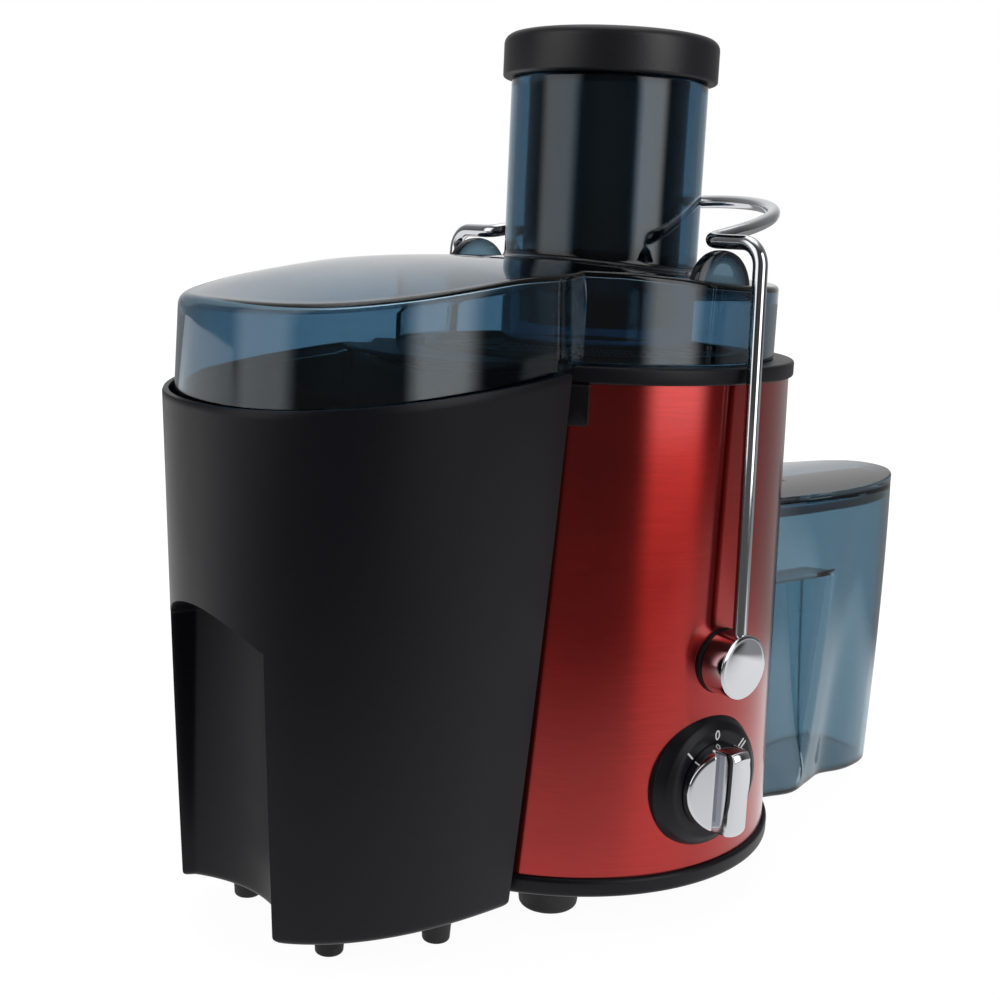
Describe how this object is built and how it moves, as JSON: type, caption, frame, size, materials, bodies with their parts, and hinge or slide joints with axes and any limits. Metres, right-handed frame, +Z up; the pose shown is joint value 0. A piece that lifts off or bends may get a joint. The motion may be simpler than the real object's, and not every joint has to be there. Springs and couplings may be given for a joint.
{
  "type": "centrifugal juicer",
  "caption": "Upright centrifugal juicer: red steel body, smoky lid with a wide feed chute, swing-over locking arm, speed dial, pulp container and lidded juice jug.",
  "frame": {"origin": "on the table under the middle of the whole object's box, 15 mm to the jug's side of the motor axis", "axes": "+Z up, +X from the pulp container to the jug, -Y towards the user at the dial"},
  "size_m": [0.3914, 0.2122, 0.3417],
  "materials": {
    "red_steel": "brushed, clear red lacquer",
    "black_plastic": "satin moulded",
    "smoke_plastic": "clear smoky blue, polished",
    "chrome": "polished plating",
    "steel": "plain",
    "rubber": "matte",
    "iron": "laminated",
    "copper": "enamelled wire",
    "brass": "plain",
    "carbon": "pressed carbon"
  },
  "bodies": {
    "base": {"base_plate": "black_plastic", "rubber_feet": "rubber", "base_screws": "steel", "body_shell": "red_steel", "top_deck": "black_plastic", "shaft_seal": "rubber", "juice_bowl": "black_plastic", "stator_core": "iron", "field_windings": "copper", "upper_bracket": "steel", "lower_bracket": "steel", "upper_bearing": "steel", "lower_bearing": "steel", "motor_bushes": "rubber", "motor_bolts": "steel", "brush_holders": "brass", "carbon_brushes": "carbon", "lid": "smoke_plastic", "pivot_washers": "black_plastic", "pivot_bushes": "brass", "interlock_switch": "black_plastic", "dial_plate": "black_plastic", "speed_switch": "black_plastic", "container_catches": "black_plastic", "cord_gland": "black_plastic", "terminal_block": "black_plastic", "pulp_container": "black_plastic", "container_feet": "rubber"},
    "spindle": {"motor_shaft": "steel", "armature_core": "iron", "armature_windings": "copper", "commutator": "copper", "cooling_fan": "black_plastic", "drive_coupling": "black_plastic", "sieve_hub": "black_plastic", "sieve_mesh": "steel", "sieve_rim": "black_plastic", "grater_disc": "steel"},
    "arm": {"locking_arm": "chrome", "front_pivot_cap": "chrome", "rear_pivot_cap": "chrome", "pivot_pins": "steel", "interlock_cam": "black_plastic"},
    "knob": {"speed_knob": "chrome", "knob_spindle": "steel"},
    "pusher": {"pusher_tube": "black_plastic", "pusher_cap": "black_plastic"},
    "jug": {"juice_jug": "smoke_plastic"},
    "jug_lid": {"jug_lid": "smoke_plastic"}
  },
  "joints": [
    {"name": "arm_swing", "type": "hinge", "parent": "base", "child": "arm", "pos_m": [-0.01475, 0.00467, 0.104], "axis": [0, 1, 0], "range_deg": [0, 40]},
    {"name": "spindle_spin", "type": "hinge", "parent": "base", "child": "spindle", "pos_m": [-0.01475, 0.00467, 0.1], "axis": [0, 0, 1], "continuous": true},
    {"name": "knob_turn", "type": "hinge", "parent": "base", "child": "knob", "pos_m": [-0.01924, -0.08722, 0.0561], "axis": [-0.0489, -0.9988, 0], "range_deg": [-45, 45]},
    {"name": "pusher_lift", "type": "slide", "parent": "base", "child": "pusher", "axis": [0, 0, 1], "range_m": [0, 0.11]},
    {"name": "jug_slide", "type": "slide", "parent": "base", "child": "jug", "axis": [1, 0, 0], "range_m": [0, 0.15]},
    {"name": "jug_lid_lift", "type": "slide", "parent": "jug", "child": "jug_lid", "axis": [0, 0, 1], "range_m": [0, 0.008]}
  ]
}
